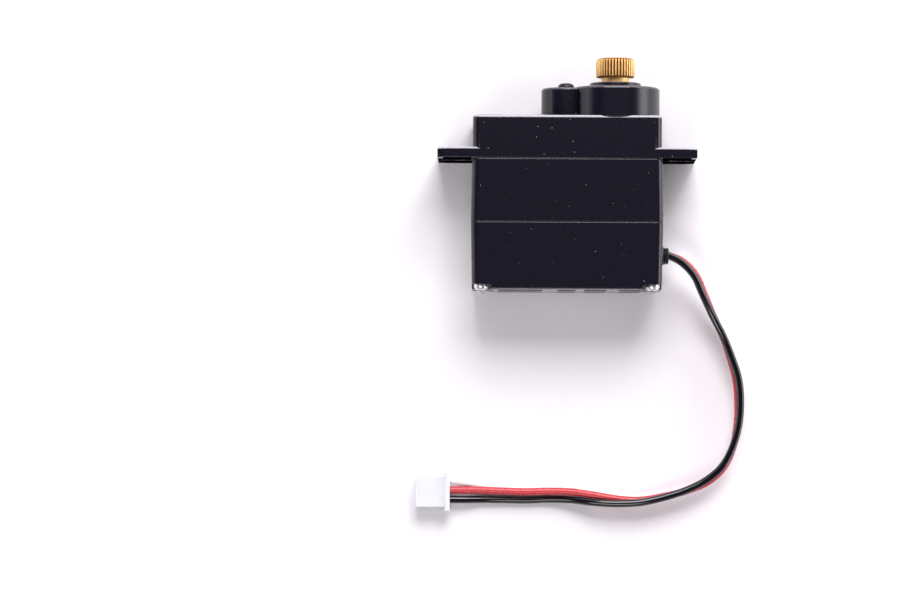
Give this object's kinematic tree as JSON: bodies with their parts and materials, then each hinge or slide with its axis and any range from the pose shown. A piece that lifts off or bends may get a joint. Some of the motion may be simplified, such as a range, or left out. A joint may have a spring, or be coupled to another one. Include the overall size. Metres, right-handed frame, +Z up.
{
  "type": "servo motor",
  "caption": "Mini servo motor lying on its back: black case with mounting tabs, stepped two-lobed head, toothed brass output spline, and a wire lead with a small white plug.",
  "frame": {"origin": "under the middle of the servo, on the surface that its wide back face lies on; the lead and plug are not counted", "axes": "+Z up from the back face, +Y along the output shaft towards the spline, +X across the mounting tabs, towards the side that the lead leaves"},
  "size_m": [0.0501, 0.0691, 0.013],
  "materials": {
    "case_plastic": "moulded black nylon with a low sheen, flecked with dust",
    "label_foil": "brushed silver foil sticker",
    "steel": "bright turned or nickel-plated steel",
    "black_steel": "black oxide, glossy",
    "brass": "machined brass, bright",
    "copper": "copper and enamelled copper wire",
    "magnet": "dark ferrite",
    "white_plastic": "white moulded nylon, satin",
    "tinned_contact": "tinned phosphor bronze",
    "beige_plastic": "moulded phenolic",
    "circuit_board": "green solder mask",
    "chip_resin": "black moulding resin",
    "rubber": "soft black rubber",
    "wire_black": "black insulation, satin",
    "wire_red": "red insulation, satin",
    "wire_white": "white insulation, satin"
  },
  "bodies": {
    "servo_case": {"top_case": "case_plastic", "mid_case": "case_plastic", "bottom_case": "case_plastic", "bottom_label": "label_foil", "case_screw_1": "steel", "case_screw_2": "steel", "case_screw_3": "steel", "case_screw_4": "steel", "motor_screw_1": "steel", "motor_screw_2": "steel", "motor_can": "steel", "gear_axle": "steel", "second_gear_pin": "steel", "bearing_outer_ring": "steel", "axle_retaining_screw": "black_steel", "output_bush": "brass", "motor_terminal_1": "copper", "motor_terminal_2": "copper", "motor_magnet": "magnet", "plug_housing": "white_plastic", "motor_end_cap": "white_plastic", "plug_contact_1": "tinned_contact", "plug_contact_2": "tinned_contact", "plug_contact_3": "tinned_contact", "sensor_body": "beige_plastic", "board_capacitor": "beige_plastic", "control_board": "circuit_board", "control_chip": "chip_resin", "driver_chip": "chip_resin", "grommet": "rubber", "lead_black": "wire_black", "lead_tail_black": "wire_black", "lead_red": "wire_red", "lead_tail_red": "wire_red", "sensor_wire_1": "wire_red", "sensor_wire_2": "wire_red", "sensor_wire_3": "wire_red", "lead_white": "wire_white", "lead_tail_white": "wire_white"},
    "motor_rotor": {"motor_armature": "copper", "motor_commutator": "copper", "motor_shaft": "steel", "motor_pinion": "brass"},
    "first_wheel": {"first_gear": "brass"},
    "second_wheel": {"second_gear": "steel"},
    "third_wheel": {"third_gear": "steel"},
    "output": {"output_shaft": "brass", "output_gear": "brass", "bearing_inner_ring": "steel", "sensor_shaft": "steel"}
  },
  "joints": [
    {"name": "motor_spin", "type": "hinge", "parent": "servo_case", "child": "motor_rotor", "pos_m": [-0.0064, 0.00345, 0.0065], "axis": [0, 1, 0], "range_deg": [-13440, 13440]},
    {"name": "first_gear_spin", "type": "hinge", "parent": "servo_case", "child": "first_wheel", "pos_m": [-0.00015, 0.00345, 0.0065], "axis": [0, 1, 0], "continuous": true},
    {"name": "second_gear_spin", "type": "hinge", "parent": "servo_case", "child": "second_wheel", "pos_m": [-0.0064, 0.00345, 0.0065], "axis": [0, 1, 0], "continuous": true},
    {"name": "third_gear_spin", "type": "hinge", "parent": "servo_case", "child": "third_wheel", "pos_m": [-0.00015, 0.00345, 0.0065], "axis": [0, 1, 0], "continuous": true},
    {"name": "output_turn", "type": "hinge", "parent": "servo_case", "child": "output", "pos_m": [0.00735, 0.00345, 0.0065], "axis": [0, 1, 0], "range_deg": [-90, 90]}
  ],
  "couplings": [
    {"joint": "first_gear_spin", "follows": "motor_spin", "ratio": -0.25},
    {"joint": "second_gear_spin", "follows": "motor_spin", "ratio": 0.0625},
    {"joint": "third_gear_spin", "follows": "motor_spin", "ratio": -0.015625},
    {"joint": "output_turn", "follows": "motor_spin", "ratio": 0.0066964}
  ]
}
